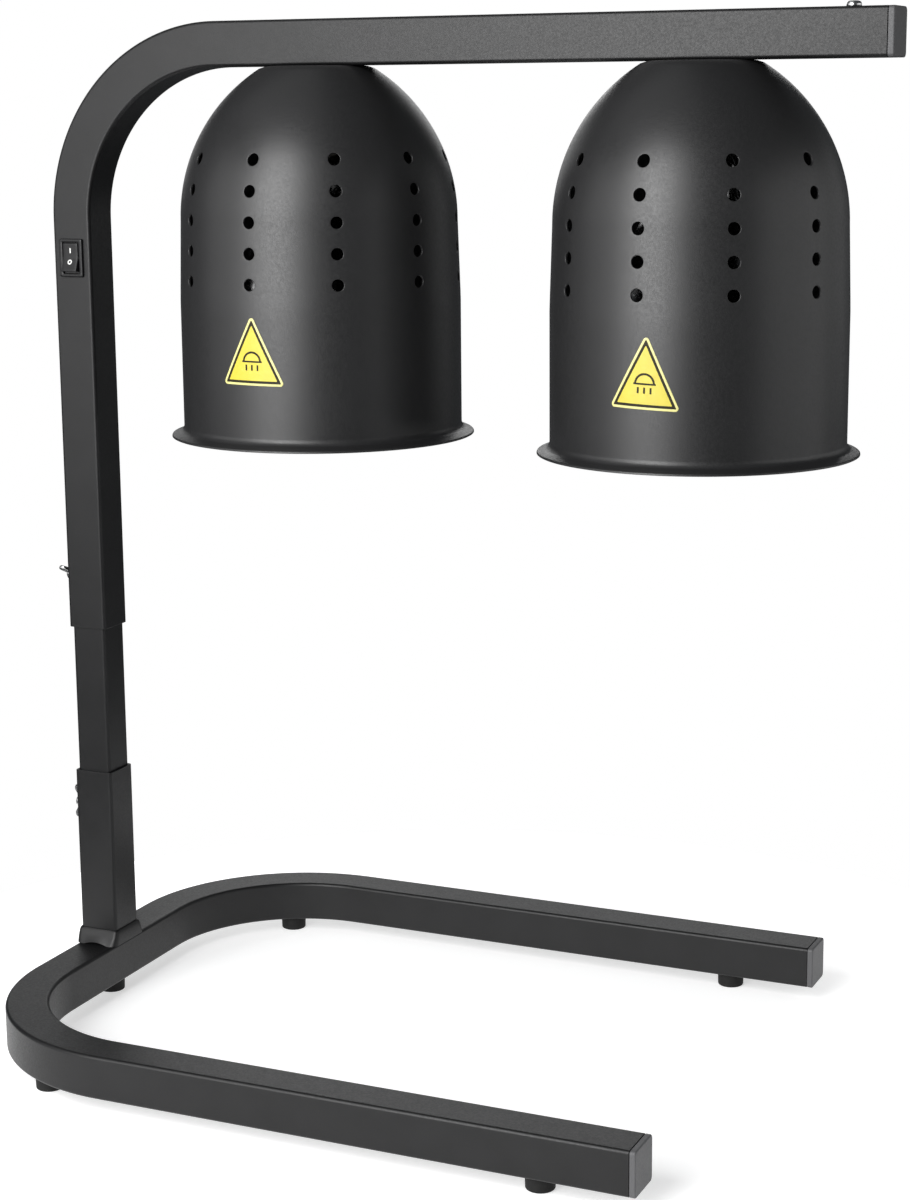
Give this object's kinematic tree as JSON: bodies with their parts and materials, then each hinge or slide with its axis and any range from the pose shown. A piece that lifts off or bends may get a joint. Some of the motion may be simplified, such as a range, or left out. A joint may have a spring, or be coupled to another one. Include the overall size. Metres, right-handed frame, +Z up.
{
  "type": "heat lamp warmer",
  "caption": "Free-standing twin food heat lamp: U-shaped tube base, telescopic square post and bent arm carrying ventilated domed shades with infrared bulbs and a rocker switch.",
  "frame": {"origin": "on the table, under the middle of the object's box", "axes": "+X from the post towards the arm's end, +Y towards the back of the switch side, +Z up"},
  "size_m": [0.5022, 0.339, 0.587],
  "materials": {
    "frame_paint": "black powder coat, fine texture",
    "shade_paint": "satin black heat-proof enamel",
    "black_plastic": "moulded black plastic",
    "switch_plastic": "polished black thermoplastic",
    "foot_rubber": "black rubber",
    "zinc_steel": "zinc-plated steel",
    "bright_screw": "bright nickel-plated",
    "nylon": "natural nylon",
    "ceramic": "glazed steatite",
    "nickel_shell": "nickel-plated brass",
    "brass": "stamped brass",
    "bulb_cap": "rolled aluminium",
    "bulb_glass": "soft-white hard glass, silvered above",
    "filament": "tungsten coil on a glass stem",
    "wire_brown": "silicone insulation",
    "wire_blue": "silicone insulation",
    "wire_green": "silicone insulation",
    "terminal_white": "moulded polyamide",
    "label_yellow": "printed yellow film"
  },
  "bodies": {
    "base": {"base_frame": "frame_paint", "front_leg_cap": "black_plastic", "rear_leg_cap": "black_plastic", "post_foot_pad": "foot_rubber", "front_bend_foot": "foot_rubber", "rear_bend_foot": "foot_rubber", "front_end_foot": "foot_rubber", "rear_end_foot": "foot_rubber", "foot_screws": "zinc_steel", "base_collar": "frame_paint", "lower_sleeve": "frame_paint", "lower_weld_nut": "frame_paint"},
    "lower_tip": {"lower_screw_tip": "nylon"},
    "lower_screw": {"lower_wing_screw": "bright_screw"},
    "inner_post": {"inner_tube": "frame_paint"},
    "upper_tip": {"upper_screw_tip": "nylon"},
    "upper_screw": {"upper_wing_screw": "bright_screw"},
    "rocker": {"switch_rocker": "switch_plastic"},
    "head": {"upper_frame": "frame_paint", "arm_end_cap": "black_plastic", "arm_screw": "bright_screw", "arm_screw_nut": "zinc_steel", "upper_weld_nut": "frame_paint", "switch_housing": "switch_plastic", "switch_terminals": "brass", "cord_bush": "black_plastic", "connector_block": "terminal_white", "live_wire": "wire_brown", "neutral_wire": "wire_blue", "earth_wire": "wire_green", "earth_tag": "brass", "lamp_a_shade": "shade_paint", "lamp_a_nipple": "zinc_steel", "lamp_a_nut": "zinc_steel", "lamp_a_holder": "ceramic", "lamp_a_socket_shell": "nickel_shell", "lamp_a_contact": "brass", "lamp_a_bulb_cap": "bulb_cap", "lamp_a_bulb_glass": "bulb_glass", "lamp_a_filament": "filament", "lamp_a_label": "label_yellow", "lamp_b_shade": "shade_paint", "lamp_b_nipple": "zinc_steel", "lamp_b_nut": "zinc_steel", "lamp_b_holder": "ceramic", "lamp_b_socket_shell": "nickel_shell", "lamp_b_contact": "brass", "lamp_b_bulb_cap": "bulb_cap", "lamp_b_bulb_glass": "bulb_glass", "lamp_b_filament": "filament", "lamp_b_label": "label_yellow"}
  },
  "joints": [
    {"name": "lower_post_slide", "type": "slide", "parent": "base", "child": "inner_post", "axis": [0, 0, 1], "range_m": [-0.024, 0.043]},
    {"name": "upper_post_slide", "type": "slide", "parent": "inner_post", "child": "head", "axis": [0, 0, 1], "range_m": [-0.064, 0.068]},
    {"name": "switch_rock", "type": "hinge", "parent": "head", "child": "rocker", "pos_m": [-0.2299, -0.0129, 0.452], "axis": [1, 0, 0], "range_deg": [0, 20]},
    {"name": "lower_tip_slide", "type": "slide", "parent": "base", "child": "lower_tip", "axis": [-1, 0, 0], "range_m": [0, 0.00185]},
    {"name": "lower_screw_turn", "type": "hinge", "parent": "lower_tip", "child": "lower_screw", "pos_m": [-0.2452, 0, 0.1195], "axis": [-1, 0, 0], "range_deg": [0, 810]},
    {"name": "upper_tip_slide", "type": "slide", "parent": "head", "child": "upper_tip", "axis": [-1, 0, 0], "range_m": [0, 0.00185]},
    {"name": "upper_screw_turn", "type": "hinge", "parent": "upper_tip", "child": "upper_screw", "pos_m": [-0.2452, 0, 0.262], "axis": [-1, 0, 0], "range_deg": [0, 810]}
  ],
  "couplings": [
    {"joint": "lower_tip_slide", "follows": "lower_screw_turn", "m_per_rad": 0.00012732},
    {"joint": "upper_tip_slide", "follows": "upper_screw_turn", "m_per_rad": 0.00012732}
  ]
}
